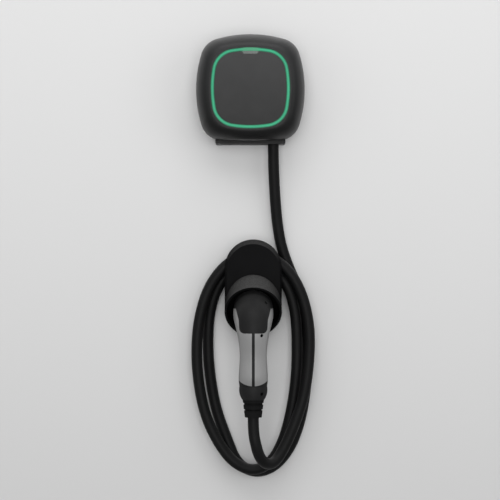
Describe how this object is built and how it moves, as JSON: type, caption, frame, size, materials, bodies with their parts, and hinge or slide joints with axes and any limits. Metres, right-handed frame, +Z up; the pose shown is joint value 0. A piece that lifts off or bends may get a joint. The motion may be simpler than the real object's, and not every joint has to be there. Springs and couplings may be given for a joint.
{
  "type": "ev wall charger",
  "caption": "Wall-mounted EV charge point: rounded-square unit with a light ring, and its tethered cable looped over a holster that holds the angled connector.",
  "frame": {"origin": "centre of the wall bracket's four screw holes, at the wall plane", "axes": "+Z up, -Y out of the wall towards the user, +X to the user's right; the wall is the plane y = 0"},
  "size_m": [0.2267, 0.1235, 0.8112],
  "materials": {
    "cover_black": "fine satin grain",
    "panel_black": "fine satin grain",
    "ring_light": "frosted, lit from behind",
    "window_grey": "smoked, glossy",
    "housing_black": "moulded, fine texture",
    "seal_rubber": "soft, dull",
    "screw_steel": "zinc plated",
    "bracket_steel": "zinc plated sheet",
    "gland_black": "moulded nylon",
    "cable_black": "dull sheath",
    "lid_grey": "moulded",
    "board_green": "solder mask",
    "relay_black": "moulded",
    "terminal_grey": "moulded polyamide",
    "sensor_black": "potted ring",
    "coil_yellow": "taped winding",
    "capacitor_blue": "sleeved",
    "fuse_white": "ceramic",
    "lead_brown": "sheathed wire",
    "lead_black": "sheathed wire",
    "lead_grey": "sheathed wire",
    "lead_blue": "sheathed wire",
    "lead_earth": "sheathed wire",
    "switch_white": "moulded",
    "dial_orange": "moulded",
    "lamp_white": "lamp bodies",
    "holster_black": "moulded, fine texture",
    "plug_silver": "satin silver-grey",
    "plug_black": "moulded",
    "boot_rubber": "soft, dull",
    "contact_silver": "silver plated"
  },
  "bodies": {
    "charger": {"board_fuse": "fuse_white", "board_screws": "screw_steel", "bus_switch_base": "switch_white", "charging_cable": "cable_black", "cover_screws": "screw_steel", "current_sensor": "sensor_black", "earth_lead": "lead_earth", "filter_capacitors": "capacitor_blue", "front_cover": "cover_black", "front_panel": "panel_black", "gland_body": "gland_black", "gland_nut": "gland_black", "gland_seal": "seal_rubber", "holster_cup": "holster_black", "holster_plate": "holster_black", "holster_screws": "screw_steel", "holster_shell": "holster_black", "housing_gasket": "seal_rubber", "inner_lid": "lid_grey", "led_board": "board_green", "light_ring": "ring_light", "line_one_lead": "lead_brown", "line_three_lead": "lead_grey", "line_two_lead": "lead_black", "main_board": "board_green", "neutral_lead": "lead_blue", "outlet_terminal": "terminal_grey", "plug_boot": "boot_rubber", "plug_cap": "plug_black", "plug_collar": "plug_black", "plug_nose": "plug_black", "plug_shell_left": "plug_silver", "plug_shell_right": "plug_silver", "plug_strip": "plug_black", "power_contacts": "contact_silver", "radio_module": "board_green", "rear_housing": "housing_black", "relay_1": "relay_black", "relay_2": "relay_black", "relay_3": "relay_black", "relay_4": "relay_black", "ring_lamps": "lamp_white", "selector_base": "switch_white", "sensor_window": "window_grey", "signal_contacts": "contact_silver", "supply_grommet": "seal_rubber", "supply_terminal": "terminal_grey", "supply_transformer": "coil_yellow", "terminal_screws": "screw_steel", "wall_bracket": "bracket_steel"},
    "dial": {"selector_dial": "dial_orange"},
    "switch_knob": {"bus_switch_knob": "dial_orange"}
  },
  "joints": [
    {"name": "current_selector", "type": "hinge", "parent": "charger", "child": "dial", "pos_m": [0.046, -0.04, 0.044], "axis": [0, -1, 0], "range_deg": [0, 270]},
    {"name": "bus_switch", "type": "slide", "parent": "charger", "child": "switch_knob", "axis": [1, 0, 0], "range_m": [0, 0.0025]}
  ]
}
